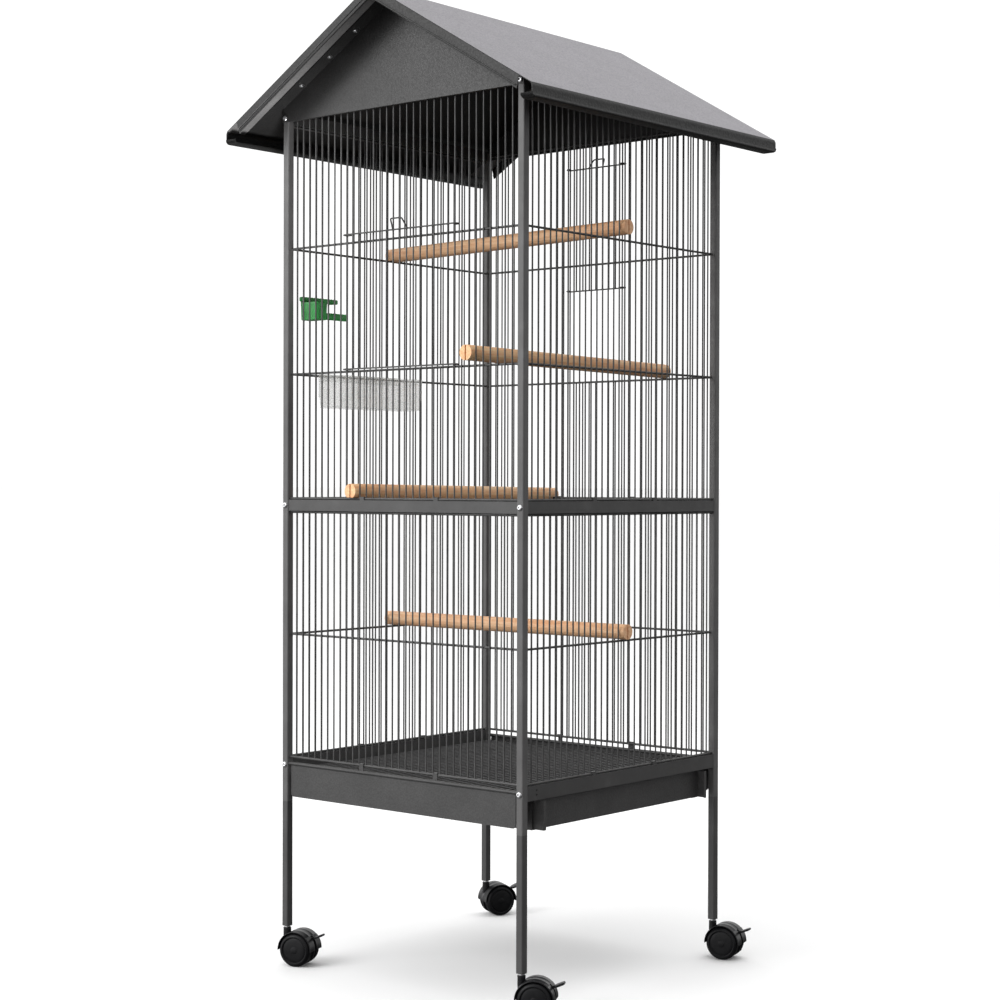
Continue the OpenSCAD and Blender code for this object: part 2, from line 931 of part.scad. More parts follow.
wires_upper(REAR, gable_rod_z, rear_door_reach - 1);  // wires_upper_rear
wires_upper(LEFT, side_top_rod_z, -1);  // wires_upper_left
wires_lower(FRONT);  // wires_lower_front
wires_lower(RIGHT);  // wires_lower_right
wires_lower(REAR);  // wires_lower_rear
wires_lower(LEFT);  // wires_lower_left
door(FRONT, front_door_reach, door_rest_z);  // door_front
door(REAR, rear_door_reach, door_rest_z + rear_door_lift);  // door_rear
perch(0, 0, door_head_z + level_d / 2, level_reach, [-3, 6.7]);  // perch_top
perch(90, -10 * wire_pitch, door_sill_z + level_d / 2, level_reach, [6, 0]);  // perch_upper
perch(90, 7 * wire_pitch, mid_top_rod_z + rod_d / 2, rail_reach, [-2, -7.8]);  // perch_middle
perch(0, 0, low_level_z + level_d / 2, level_reach, [0, 0]);  // perch_low
feeding_cup();
feeding_trough();
hood(0);  // hood_left_front
hood(1);  // hood_right_front
hood(2);  // hood_right_rear
hood(3);  // hood_left_rear
wheels(0);  // wheels_left_front
wheels(1);  // wheels_right_front
wheels(2);  // wheels_right_rear
wheels(3);  // wheels_left_rear
brake(0);  // brake_left_front
brake(1);  // brake_right_front
brake(2);  // brake_right_rear
brake(3);  // brake_left_rear
roof_screws();
frame_bolts();
rail_nuts();
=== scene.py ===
"""Looks of the bird cage on its rolling stand. Metres, in the CAD model's frame."""
import json
import math

import bmesh
import bpy
from mathutils import Matrix, Vector


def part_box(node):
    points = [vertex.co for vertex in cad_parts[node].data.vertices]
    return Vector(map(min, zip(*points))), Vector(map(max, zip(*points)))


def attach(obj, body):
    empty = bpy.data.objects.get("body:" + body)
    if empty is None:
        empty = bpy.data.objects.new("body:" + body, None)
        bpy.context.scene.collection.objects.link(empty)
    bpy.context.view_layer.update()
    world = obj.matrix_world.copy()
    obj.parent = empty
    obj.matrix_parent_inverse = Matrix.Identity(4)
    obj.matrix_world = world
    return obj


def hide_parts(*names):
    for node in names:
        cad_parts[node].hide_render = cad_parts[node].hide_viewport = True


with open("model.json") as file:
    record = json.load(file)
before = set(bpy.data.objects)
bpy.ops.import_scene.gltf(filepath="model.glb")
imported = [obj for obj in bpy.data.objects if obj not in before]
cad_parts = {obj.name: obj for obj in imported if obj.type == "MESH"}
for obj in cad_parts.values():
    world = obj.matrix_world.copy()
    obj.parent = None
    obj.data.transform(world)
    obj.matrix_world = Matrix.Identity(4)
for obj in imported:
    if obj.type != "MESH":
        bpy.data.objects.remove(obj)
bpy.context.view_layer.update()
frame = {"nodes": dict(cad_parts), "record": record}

MM = 0.001
NODES = frame["nodes"]
# each corner's sides in X and Y, and how far its caster is turned, in degrees
CORNERS = {
    "left_front": (-1, -1, 20),
    "right_front": (1, -1, 30),
    "right_rear": (1, 1, 15),
    "left_rear": (-1, 1, 62),
}
HALF = 250 * MM                 # from the middle to a post's middle
POST_W = 13 * MM
WIRE_D = 2.5 * MM
PITCH = 2 * (HALF - POST_W / 2) / 34          # between the upright wires
RIDGE_Z = 1553 * MM
ROOF_X = 325 * MM               # from the middle to an eave
ROOF_Y = 320 * MM               # from the middle to a rake edge
SLOPE = math.radians(30.5)
EAVE_Z = RIDGE_Z - ROOF_X * math.tan(SLOPE)
SHEET_T = 1.2 * MM
BOLT_LEVELS = ((328, 0), (753, 0), (1385, 1.2))   # height in mm, and the sheet under the head
DOOR_H = 214 * MM
DOOR_SHIFT = 3 * MM             # of a door's wires, to one side of the panel's wires
HANDLE_SHIFT = 5.5 * MM         # of a door's loop, to the same side
FEEDER_WIRES = (-13.5, -10.5)   # pitches from the middle to the wires that hold the cup
SCREW_X = (19, 82, 139, 203)    # in mm, from the ridge
SCREW_Y = 267.5 * MM
PAINTED_BOUNCE_Y = 281.5 * MM           # where the overhangs' undersides with painted bounce light begin


# ---- meshes ----

def link_mesh(name, bm, smooth=35):
    """An object from a bmesh, with smooth shading below that angle."""
    mesh = bpy.data.meshes.new(name)
    bmesh.ops.recalc_face_normals(bm, faces=bm.faces)
    bm.to_mesh(mesh)
    bm.free()
    obj = bpy.data.objects.new(name, mesh)
    bpy.context.scene.collection.objects.link(obj)
    if smooth:
        mesh.shade_smooth()
        mesh.set_sharp_from_angle(angle=math.radians(smooth))
    return obj


def bevel(obj, width, segments, angle):
    """Rounds the edges of a mesh that are sharper than that angle."""
    weld = obj.modifiers.new("weld", "WELD")
    weld.merge_threshold = 0.00002
    mod = obj.modifiers.new("bevel", "BEVEL")
    mod.width = width
    mod.segments = segments
    mod.limit_method = "ANGLE"
    mod.angle_limit = math.radians(angle)
    mod.harden_normals = True
    mod.use_clamp_overlap = True


def in_mm(points):
    """Points given in millimetres, in metres."""
    return [tuple(v * MM for v in p) for p in points]


def add_ring(bm, points):
    return [bm.verts.new(p) for p in points]


def bridge(bm, a, b):
    """Quads between two closed rows of vertices."""
    for i in range(len(a)):
        j = (i + 1) % len(a)
        bm.faces.new((a[i], a[j], b[j], b[i]))


def circle_points(radius, z, segments):
    turns = [2 * math.pi * i / segments for i in range(segments)]
    return [(radius * math.cos(a), radius * math.sin(a), z) for a in turns]


def cap_rows(bm, rows):
    """Joins rows of vertices into one closed skin."""
    for a, b in zip(rows, rows[1:]):
        bridge(bm, a, b)
    bm.faces.new(rows[0])
    bm.faces.new(rows[-1])


def add_lathe(bm, profile, segments=48, matrix=Matrix.Identity(4)):
    """A turned solid about Z. The profile's (radius, height) points run from axis to axis."""
    rows = []
    for radius, height in profile:
        if radius < 1e-9:
            rows.append([bm.verts.new(matrix @ Vector((0, 0, height)))])
        else:
            rows.append(add_ring(bm, [matrix @ Vector(p) for p in circle_points(radius, height, segments)]))
    for a, b in zip(rows, rows[1:]):
        if len(a) == 1:
            for i in range(segments):
                bm.faces.new((a[0], b[i], b[(i + 1) % segments]))
        elif len(b) == 1:
            for i in range(segments):
                bm.faces.new((a[i], a[(i + 1) % segments], b[0]))
        else:
            bridge(bm, a, b)


def add_arc_lathe(bm, profile, start, end, segments=40, matrix=Matrix.Identity(4)):
    """A closed profile of (radius, height) swept round Z from one angle to another, with capped ends."""
    rows = []
    for k in range(segments + 1):
        a = math.radians(start + (end - start) * k / segments)
        points = [(r * math.cos(a), r * math.sin(a), h) for r, h in profile]
        rows.append(add_ring(bm, [matrix @ Vector(p) for p in points]))
    cap_rows(bm, rows)


def add_prism(bm, outline, low, high, matrix=Matrix.Identity(4)):
    """A flat outline pushed from one height to another."""
    a = add_ring(bm, [matrix @ Vector((x, y, low)) for x, y in outline])
    b = add_ring(bm, [matrix @ Vector((x, y, high)) for x, y in outline])
    cap_rows(bm, [a, b])


def add_box(bm, low, high, matrix=Matrix.Identity(4)):
    outline = [(low[0], low[1]), (high[0], low[1]), (high[0], high[1]), (low[0], high[1])]
    add_prism(bm, outline, low[2], high[2], matrix)


def rounded_outline(w, h, r, steps=6):
    """A rectangle about the origin with round corners."""
    points = []
    for k, (sx, sy) in enumerate([(1, 1), (-1, 1), (-1, -1), (1, -1)]):
        for i in range(steps + 1):
            a = math.pi / 2 * (k + i / steps)
            points.append((sx * (w / 2 - r) + r * math.cos(a), sy * (h / 2 - r) + r * math.sin(a)))
    return points


def frames_along(points):
    """Two side directions at each point of a path, without twist."""
    pts = [Vector(p) for p in points]
    tangents = [(pts[min(i + 1, len(pts) - 1)] - pts[max(i - 1, 0)]).normalized() for i in range(len(pts))]
    side = tangents[0].orthogonal().normalized()
    out = []
    for t in tangents:
        side = (side - t * side.dot(t)).normalized()
        out.append((t, side, t.cross(side)))
    return pts, out


def add_wire(bm, points, d=WIRE_D, segments=12):
    """A round wire along a path, with rounded ends."""
    pts, axes = frames_along(points)
    r = d / 2
    rows = []
    for scale, shift in ((0.35, -0.5), (0.8, -0.25)):
        rows.append((pts[0] + axes[0][0] * shift * r, axes[0], r * scale))
    rows += [(p, a, r) for p, a in zip(pts, axes)]
    for scale, shift in ((0.8, 0.25), (0.35, 0.5)):
        rows.append((pts[-1] + axes[-1][0] * shift * r, axes[-1], r * scale))
    turns = [2 * math.pi * i / segments for i in range(segments)]
    rings = []
    for p, (_, u, v), radius in rows:
        rings.append(add_ring(bm, [p + (u * math.cos(a) + v * math.sin(a)) * radius for a in turns]))
    cap_rows(bm, rings)


def rounded_path(points, radius, steps=6):
    """A path through the points with its corners rounded."""
    pts = [Vector(p) for p in points]
    out = [pts[0]]
    for a, b, c in zip(pts, pts[1:], pts[2:]):
        u, v = (a - b).normalized(), (c - b).normalized()
        reach = min(radius, (a - b).length * 0.49, (c - b).length * 0.49)
        start, end = b + u * reach, b + v * reach
        for i in range(steps + 1):
            t = i / steps
            out.append(start * (1 - t) ** 2 + b * 2 * t * (1 - t) + end * t * t)
    out.append(pts[-1])
    return out


# ---- materials ----

def new_material(name):
    mat = bpy.data.materials.new(name)
    mat.use_nodes = True
    tree = mat.node_tree
    shader = next(n for n in tree.nodes if n.type == "BSDF_PRINCIPLED")
    return mat, tree, shader


def object_coords(tree, scale=(1, 1, 1)):
    coord = tree.nodes.new("ShaderNodeTexCoord")
    mapping = tree.nodes.new("ShaderNodeMapping")
    mapping.inputs["Scale"].default_value = scale
    tree.links.new(coord.outputs["Object"], mapping.inputs["Vector"])
    return mapping.outputs["Vector"]


def noise(tree, vector, scale, detail=3.0, rough=0.5, distortion=0.0):
    node = tree.nodes.new("ShaderNodeTexNoise")
    node.inputs["Scale"].default_value = scale
    node.inputs["Detail"].default_value = detail
    node.inputs["Roughness"].default_value = rough
    node.inputs["Distortion"].default_value = distortion
    tree.links.new(vector, node.inputs["Vector"])
    return node.outputs["Fac"]


def cells(tree, vector, scale):
    """Soft rounded cells, as the distance from each one's middle."""
    node = tree.nodes.new("ShaderNodeTexVoronoi")
    node.feature = "SMOOTH_F1"
    node.inputs["Scale"].default_value = scale
    node.inputs["Smoothness"].default_value = 0.6
    tree.links.new(vector, node.inputs["Vector"])
    return node.outputs["Distance"]


def ramp(tree, value, stops):
    """A colour ramp; stops are (place, grey or colour)."""
    node = tree.nodes.new("ShaderNodeValToRGB")
    elements = node.color_ramp.elements
    while len(elements) < len(stops):
        elements.new(0.5)
    for e, (place, colour) in zip(elements, stops):
        e.position = place
        is_grey = isinstance(colour, (int, float))
        e.color = (colour, colour, colour, 1) if is_grey else (*colour, 1)
    tree.links.new(value, node.inputs["Fac"])
    return node.outputs["Color"]


def mix_maths(tree, a, b, operation="ADD"):
    node = tree.nodes.new("ShaderNodeMath")
    node.operation = operation
    for socket, value in zip(node.inputs, (a, b)):
        if isinstance(value, (int, float)):
            socket.default_value = value
        else:
            tree.links.new(value, socket)
    return node.outputs[0]


def mix_colour(tree, factor, a, b):
    node = tree.nodes.new("ShaderNodeMix")
    node.data_type = "RGBA"
    tree.links.new(factor, node.inputs[0])
    for socket, value in ((node.inputs[6], a), (node.inputs[7], b)):
        if isinstance(value, (tuple, list)):
            socket.default_value = (*value, 1)
        else:
            tree.links.new(value, socket)
    return node.outputs[2]


def add_bump(tree, shader, height, strength, distance):
    node = tree.nodes.new("ShaderNodeBump")
    node.inputs["Strength"].default_value = strength
    node.inputs["Distance"].default_value = distance
    tree.links.new(height, node.inputs["Height"])
    tree.links.new(node.outputs["Normal"], shader.inputs["Normal"])


def fill(tree, shader, colour, roughness):
    tree.links.new(colour, shader.inputs["Base Color"])
    tree.links.new(roughness, shader.inputs["Roughness"])


def grey(v):
    """A very slightly warm grey."""
    return (v, v * 0.985, v * 0.985)


def powder_coat(name, tone):
    """Satin charcoal powder coat: orange peel, faint rub marks and dust."""
    mat, tree, shader = new_material(name)
    at = object_coords(tree)
    fine = noise(tree, at, 900, 3)
    broad = noise(tree, at, 18, 4, 0.6)
    colour = ramp(tree, broad, [(0.3, grey(tone * 0.8)), (0.62, grey(tone)), (0.8, grey(tone * 1.35))])
    dust = ramp(tree, noise(tree, at, 260, 6, 0.7), [(0.60, 0.0), (0.78, 0.35)])
    colour = mix_colour(tree, dust, colour, grey(tone * 2.2))
    rough = ramp(tree, noise(tree, at, 60, 5), [(0.3, 0.36), (0.7, 0.52)])
    fill(tree, shader, colour, rough)
    add_bump(tree, shader, fine, 0.35, 0.00022)
    return mat


def hammered_sheet(name, tone, gloss=(0.34, 0.52), bump=0.55, tint=(1.0, 0.985, 0.985)):
    """Hammer-finish charcoal sheet: small rounded cells over slow dents, with fine sparkle."""
    mat, tree, shader = new_material(name)
    at = object_coords(tree)
    dimples = cells(tree, at, 330)
    waves = noise(tree, at, 22, 3, 0.55)
    grain = noise(tree, at, 1100, 4, 0.6)
    speck = ramp(tree, grain, [(0.52, 0.0), (0.72, 0.5)])
    shade = lambda k: tuple(tone * k * c for c in tint)
    base = ramp(tree, waves, [(0.3, shade(0.82)), (0.7, shade(1.15))])
    cell = ramp(tree, dimples, [(0.1, 0.0), (0.75, 0.45)])
    colour = mix_colour(tree, cell, base, shade(0.55))
    colour = mix_colour(tree, speck, colour, shade(1.9))
    rough = ramp(tree, dimples, [(0.0, gloss[0]), (0.8, gloss[1])])
    fill(tree, shader, colour, rough)
    dents = mix_maths(tree, dimples, -0.55, "MULTIPLY")
    height = mix_maths(tree, dents, mix_maths(tree, waves, 1.5, "MULTIPLY"))
    height = mix_maths(tree, height, mix_maths(tree, grain, 0.18, "MULTIPLY"))
    add_bump(tree, shader, height, bump, 0.0005)
    return mat


def coated_wire(name, tone):
    """Thin dark coating on drawn wire, slightly wavy and thicker here and there."""
    mat, tree, shader = new_material(name)
    at = object_coords(tree)
    runs = noise(tree, object_coords(tree, (1, 1, 0.25)), 300, 4, 0.6)
    colour = ramp(tree, noise(tree, at, 40, 4), [(0.3, grey(tone * 0.75)), (0.75, grey(tone * 1.5))])
    rough = ramp(tree, runs, [(0.3, 0.30), (0.7, 0.48)])
    fill(tree, shader, colour, rough)
    add_bump(tree, shader, runs, 0.3, 0.0002)
    return mat


def zinc(name):
    """Bright zinc plate with fine turning marks and dull patches."""
    mat, tree, shader = new_material(name)
    at = object_coords(tree)
    patches = noise(tree, at, 350, 4, 0.6)
    fill(tree, shader,
         ramp(tree, patches, [(0.3, (0.55, 0.55, 0.57)), (0.6, (0.84, 0.84, 0.85))]),
         ramp(tree, patches, [(0.3, 0.42), (0.7, 0.2)]))
    shader.inputs["Metallic"].default_value = 1.0
    add_bump(tree, shader, noise(tree, at, 2600, 2), 0.15, 0.0001)
    return mat


def perch_wood(name, axis, painted_light_lift=1.0):
    """Bare turned hardwood: grain along the dowel, pores and a few darker streaks. Its last argument
    brightens it as painted light, for perches that the lamps light less.
    """
    mat, tree, shader = new_material(name)
    scale = lambda along, across: tuple(along if i == axis else across for i in range(3))
    grain = noise(tree, object_coords(tree, scale(2.2, 60)), 4, 6, 0.65, 0.5)
    streaks = noise(tree, object_coords(tree, scale(1.2, 22)), 3.2, 3, 0.5, 0.3)
    pores = noise(tree, object_coords(tree, scale(24, 700)), 1.6, 2, 0.7)
    broad = noise(tree, object_coords(tree, (14, 14, 14)), 1.0, 2)
    # every stop is brightened by the last argument: painted light
    tone = lambda r, g, b: (min(r * painted_light_lift, 0.98), g * painted_light_lift ** 0.5, b * painted_light_lift ** 0.3)
    stops = [(0.28, tone(0.66, 0.33, 0.16)), (0.5, tone(0.86, 0.52, 0.29)), (0.72, tone(0.95, 0.68, 0.43))]
    colour = ramp(tree, grain, stops)
    colour = mix_colour(tree, ramp(tree, streaks, [(0.5, 0.0), (0.7, 0.55)]), colour, (0.82, 0.36, 0.17))
    colour = mix_colour(tree, ramp(tree, broad, [(0.35, 0.0), (0.7, 0.30)]), colour, (0.95, 0.56, 0.34))
    colour = mix_colour(tree, ramp(tree, pores, [(0.62, 0.0), (0.72, 0.6)]), colour, (0.25, 0.12, 0.06))
    fill(tree, shader, colour, ramp(tree, grain, [(0.3, 0.68), (0.7, 0.5)]))
    height = mix_maths(tree, grain, mix_maths(tree, pores, -0.6, "MULTIPLY"))
    add_bump(tree, shader, height, 0.5, 0.0004)
    return mat


def moulded(name, low, high, rough=(0.28, 0.42), gloss=0.5):
    """Moulded plastic: faint flow marks, fine grain and scuffs."""
    mat, tree, shader = new_material(name)
    at = object_coords(tree)
    flow = noise(tree, at, 45, 4, 0.6, 0.6)
    grain = noise(tree, at, 1500, 3)
    scuff = noise(tree, object_coords(tree, (1, 4, 1)), 160, 5, 0.7)
    fill(tree, shader,
         ramp(tree, flow, [(0.3, low), (0.7, high)]),
         ramp(tree, scuff, [(0.4, rough[0]), (0.7, rough[1])]))
    shader.inputs["Specular IOR Level"].default_value = gloss
    add_bump(tree, shader, grain, 0.25, 0.00015)
    return mat


def clear_plastic(name):
    """Milky clear plastic with flow marks and faint scratches."""
    mat, tree, shader = new_material(name)
    at = object_coords(tree)
    flow = noise(tree, at, 30, 4, 0.6, 0.8)
    scratch = noise(tree, object_coords(tree, (1, 1, 9)), 220, 5, 0.7)
    fill(tree, shader,
         ramp(tree, flow, [(0.3, (0.80, 0.81, 0.79)), (0.7, (0.93, 0.93, 0.90))]),
         ramp(tree, scratch, [(0.4, 0.12), (0.7, 0.3)]))
    shader.inputs["Transmission Weight"].default_value = 0.3
    shader.inputs["Alpha"].default_value = 0.24
    shader.inputs["IOR"].default_value = 1.2
    add_bump(tree, shader, flow, 0.1, 0.0004)
    return mat


COAT = powder_coat("powder_coat", 0.066)
# a lighter copy of the powder coat for the posts: painted light, as the posts share the rails' real coat
POST_COAT_PAINTED_LIGHT = powder_coat("post_coat_painted_light", 0.115)
SHEET = hammered_sheet("hammered_sheet", 0.052)
# a lighter, lilac-tinted copy of the hammered sheet for the roof's top faces: painted light where the top
# catches the sky, with a smoother gloss and finer bump
ROOF = hammered_sheet("roof_sheet_painted_light", 0.11, (0.28, 0.4), 0.2, (1.0, 0.9, 1.1))
# a near-black copy of the hammered sheet: painted shade, on the roof's edges and inside and on the gables'
# sloped flanges
ROOF_PAINTED_SHADE = hammered_sheet("roof_painted_shade", 0.013, (0.45, 0.62), 0.9)
# a lighter copy of the hammered sheet for the overhangs' undersides past the gables: painted bounce light
# from below
ROOF_UNDER_PAINTED_BOUNCE = hammered_sheet("roof_underside_painted_bounce", 0.22)
TRAY = hammered_sheet("tray_sheet", 0.062)
GABLE = hammered_sheet("gable_sheet", 0.031)
WIRE = coated_wire("coated_wire", 0.055)
ZINC = zinc("zinc")
WOOD = perch_wood("perch_wood", 0)
# a brighter copy of the wood for the perches that run along Y: painted light, as the lamps light them less
WOOD_Y_PAINTED_LIGHT = perch_wood("perch_wood_y_painted_light", 1, 1.3)
GREEN = moulded("green_plastic", (0.022, 0.22, 0.04), (0.042, 0.36, 0.08), (0.3, 0.45))
CLEAR = clear_plastic("clear_plastic")
BLACK = moulded("black_plastic", (0.006, 0.006, 0.007), (0.013, 0.013, 0.014), (0.3, 0.45), 0.24)
TREAD = moulded("wheel_plastic", (0.004, 0.004, 0.005), (0.010, 0.010, 0.011), (0.34, 0.5), 0.2)
FINISH = {"powder_coat": COAT, "hammered_sheet": SHEET, "coated_wire": WIRE, "zinc": ZINC, "perch_wood": WOOD,
          "green_plastic": GREEN, "clear_plastic": CLEAR, "black_plastic": BLACK, "wheel_plastic": TREAD}


def paint(obj, slot):
    """Gives an object one finish and names its slot."""
    obj.data.materials.clear()
    obj.data.materials.append(FINISH[slot])
    return obj


def dress_nodes():
    """Gives each CAD node its own finish; the gables' sloped flanges get a near-black sheet as painted shade,
    and the posts a lighter copy of the coat as painted light.
    """
    for row in frame["record"]["subparts"]:
        paint(NODES[row["node"]], row["material_slot"])
    for node in ("gable_front", "gable_rear"):
        gable = NODES[node].data
        gable.materials[0] = GABLE
        # the gables' sloped flanges under the roof take the near-black sheet: painted shade
        gable.materials.append(ROOF_PAINTED_SHADE)
        for face in gable.polygons:
            face.material_index = int(abs(face.normal.y) < 0.1 and 0.6 < abs(face.normal.z) < 0.95)
    # the posts take the lighter copy of the coat: painted light
    for corner in CORNERS:
        NODES["post_" + corner].data.materials[0] = POST_COAT_PAINTED_LIGHT
    NODES["tray"].data.materials[0] = TRAY


def stand_in(name, bm, slot, body, *nodes, smooth=35):
    """A detailed piece that rides on a body in place of CAD nodes."""
    obj = paint(link_mesh(name, bm, smooth), slot)
    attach(obj, body)
    if nodes:
        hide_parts(*nodes)
    return obj


# ---- perches ----

def make_perches():
    """The CAD dowels, with eased ends and grain that runs along them."""
    # the perches along Y take the brighter copy of the wood: painted light
    for finish, nodes in ((WOOD, ("perch_top", "perch_low")), (WOOD_Y_PAINTED_LIGHT, ("perch_upper", "perch_middle"))):
        for node in nodes:
            bevel(NODES[node], 1.1 * MM, 3, 50)
            NODES[node].data.materials[0] = finish


# ---- doors ----

def side_matrix(turn):
    """Takes the front wall's place to the wall that many degrees round the cage."""
    return Matrix.Rotation(math.radians(turn), 4, "Z") @ Matrix.Translation((0, -HALF, 0))


def cross_path(guide_x, y, z):
    """A level wire of a door: straight, with a half-round hook at each end."""
    hook = -y
    left = []
    for i in range(17):
        a = math.radians(-90 - 180 * i / 16)
        left.append((-guide_x + hook * math.cos(a), hook * math.sin(a), z))
    tail = (-guide_x + 3 * MM, hook, z)
    half = [tail] + left[::-1]
    return half + [(-x, yy, z) for x, yy, z in reversed(half)]


def make_door(node, turn, reach):
    """A door of bent wires, whose guide wires stand that many pitches from its middle."""
    low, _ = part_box(node)
    door_y = -(WIRE_D + 1 * MM)
    cross_y = door_y - WIRE_D + 0.3 * MM
    z0 = low.z + 1.35 * MM
    top = z0 + DOOR_H
    bm = bmesh.new()
    for i in range(1 - reach, reach):
        x = i * PITCH + DOOR_SHIFT
        levels = (z0 + 0.2 * MM, z0 + DOOR_H * 0.5, top - 0.2 * MM)
        add_wire(bm, [(x, door_y, z) for z in levels])
    for z in (z0, top):
        add_wire(bm, cross_path(reach * PITCH, cross_y, z), WIRE_D, 14)
    head_y, head_z = cross_y - 9.6 * MM, top + 16 * MM
    foot, head = 15.3 * MM, 11.8 * MM
    loop = [(HANDLE_SHIFT - foot, cross_y, top), (HANDLE_SHIFT - head, head_y, head_z),
            (HANDLE_SHIFT + head, head_y, head_z), (HANDLE_SHIFT + foot, cross_y, top)]
    add_wire(bm, rounded_path(loop, 3 * MM), WIRE_D, 14)
    bmesh.ops.transform(bm, matrix=side_matrix(turn), verts=bm.verts)
    stand_in("bent_" + node, bm, "coated_wire", node, node, smooth=40)


# ---- bolts and screws ----

def add_socket_head(bm, r, h, socket, matrix, lobes=6, depth=0.6):
    """A domed head with a lobed driver recess, its top along +Z."""
    n = 48
    turns = [2 * math.pi * i / n for i in range(n)]
    lobe = 2 * math.pi / lobes
    dome = [(r, 0.0), (r, h * 0.25), (r * 0.93, h * 0.55), (r * 0.78, h * 0.84), (r * 0.6, h)]
    rows = [add_ring(bm, [matrix @ Vector(p) for p in circle_points(q, z, n)]) for q, z in dome]
    rows.append(add_ring(bm, [matrix @ Vector(p) for p in circle_points(socket * 1.16, h, n)]))
    recess = [socket / math.cos((a + lobe / 2) % lobe - lobe / 2) for a in turns]
    for z in (h * 0.96, h * (1 - depth)):
        points = [(q * math.cos(a), q * math.sin(a), z) for a, q in zip(turns, recess)]
        rows.append(add_ring(bm, [matrix @ Vector(p) for p in points]))
    cap_rows(bm, rows)


def make_frame_bolts():
    """Three socket heads on the front or rear face of each post."""
    shank = in_mm([(0, -34), (2.3, -34), (2.5, -33.6), (2.5, 0), (0, 0)])
    bm = bmesh.new()
    for sx, sy, _ in CORNERS.values():
        for z, sheet in BOLT_LEVELS:
            place = Vector((sx * HALF, sy * (HALF + POST_W / 2 + sheet * MM), z * MM))
            m = Matrix.Translation(place) @ Matrix.Rotation(-sy * math.pi / 2, 4, "X")
            add_lathe(bm, shank, 24, m)
            add_socket_head(bm, 4.75 * MM, 2.7 * MM, 1.75 * MM, m)
    stand_in("socket_bolts", bm, "zinc", "cage", "frame_bolts", smooth=30)


def slope_matrix(side):
    """X down the slope from the ridge and Z out of the roof, on the side given as 1 or -1."""
    m = Matrix.Translation((0, 0, RIDGE_Z)) @ Matrix.Rotation(SLOPE, 4, "Y")
    return m if side > 0 else Matrix.Scale(-1, 4, (1, 0, 0)) @ m


def make_roof_screws():
    """Pan heads on flanged washers, up through each gable's flange."""
    washer = in_mm([(0, 0), (4.2, 0), (4.2, 0.5), (3.9, 0.9), (0, 0.9)])
    shank = in_mm([(0, 0), (2, 0), (2, -2.4), (0, -2.5)])
    bm = bmesh.new()
    head_z = -(2 * SHEET_T + 0.2 * MM)
    for slope in (-1, 1):
        for y in (-SCREW_Y, SCREW_Y):
            for x in SCREW_X:
                m = slope_matrix(slope) @ Matrix.Translation((x * MM / math.cos(SLOPE), y, head_z))
                m = m @ Matrix.Rotation(math.pi, 4, "X")
                add_lathe(bm, washer, 32, m)
                add_lathe(bm, shank, 20, m)
                add_socket_head(bm, 3.1 * MM, 2.35 * MM, 1.2 * MM, m, 4, 0.45)
    stand_in("pan_screws", bm, "zinc", "cage", "roof_screws", smooth=30)


# ---- roof ----

def offset_outline(centre, t):
    """A closed outline t thick about a bent line in the XZ plane."""
    pts = [Vector((x, z)) for x, z in centre]
    sides = []
    for i, p in enumerate(pts):
        along = (pts[min(i + 1, len(pts) - 1)] - pts[max(i - 1, 0)]).normalized()
        sides.append(Vector((-along.y, along.x)) * t / 2)
    return [p + n for p, n in zip(pts, sides)] + [p - n for p, n in reversed(list(zip(pts, sides)))]


def roof_line():
    """The middle of the roof sheet, from the ridge down to the roll under the eave."""
    drop = SHEET_T / 2 / math.cos(SLOPE)
    top = lambda x: RIDGE_Z - x * math.tan(SLOPE) - drop
    out = lambda back, down: (ROOF_X - back * MM, EAVE_Z - down * MM)
    line = [(x, top(x)) for x in (0.1 * MM, 160 * MM, ROOF_X - 8 * MM, ROOF_X - 4 * MM)]
    line += [out(2.7, 0.9), out(2.0, 2.6), out(1.9, 5), out(1.9, 13.6), out(1.5, 14.8)]
    line += [(ROOF_X - 2.7 * MM + 2.0 * MM * math.cos(a), EAVE_Z - 17.2 * MM + 2.0 * MM * math.sin(a))
             for a in (math.radians(40 - 130 * i / 8) for i in range(9))]
    line += [out(8, 19.3), out(21, 19.3), out(22.4, 18.7), out(22.8, 17)]
    return line


def corner_floor(y):
    """Lowest point of the eave's fold at that place along it: its end corners are rounded."""
    r = 8 * MM
    d = min(ROOF_Y - abs(y), r)
    return EAVE_Z - 20 * MM + r - math.sqrt(r * r - (r - d) ** 2)


def add_roof_panel(bm):
    """The bent sheet from the ridge to the eave's roll, with its end corners rounded."""
    outline = offset_outline(roof_line(), SHEET_T)
    ends = [ROOF_Y - d * MM for d in (0, 0.4, 1.2, 2.4, 4, 6, 8)]
    stations = [-y for y in ends] + [y * MM for y in (-282, -281, -100, 0, 100, 281, 282)] + ends[::-1]
    cap_rows(bm, [add_ring(bm, [(x, y, max(z, corner_floor(y))) for x, z in outline]) for y in stations])


def add_rake_flange(bm, side):
    """The turned-down edge over a gable: two flat steps and a rolled hem, cut off short of the eave."""
    top = lambda x: RIDGE_Z - x * math.tan(SLOPE)
    turn = Matrix.Translation((0, side * ROOF_Y, 0)) @ Matrix.Rotation(math.pi / 2, 4, "X")
    end = ROOF_X - 26 * MM
    for high, low, back in ((0.4, 12.0, 0.0), (11.6, 19.6, 1.3)):
        edge = [(0.1 * MM, top(0) - high * MM), (end - (high - 0.4) * 0.3 * MM, top(end) - high * MM),
                (end - (low - 0.4) * 0.3 * MM, top(end) - low * MM), (0.1 * MM, top(0) - low * MM)]
        near, far = sorted((side * back * MM, side * (back * MM + SHEET_T)))
        add_prism(bm, edge, near, far, turn)
    hem = side * (ROOF_Y - 1.7 * MM)
    add_wire(bm, [(x, hem, top(x) - 18.2 * MM) for x in (2 * MM, 150 * MM, end - 7 * MM)], 3.2 * MM, 10)


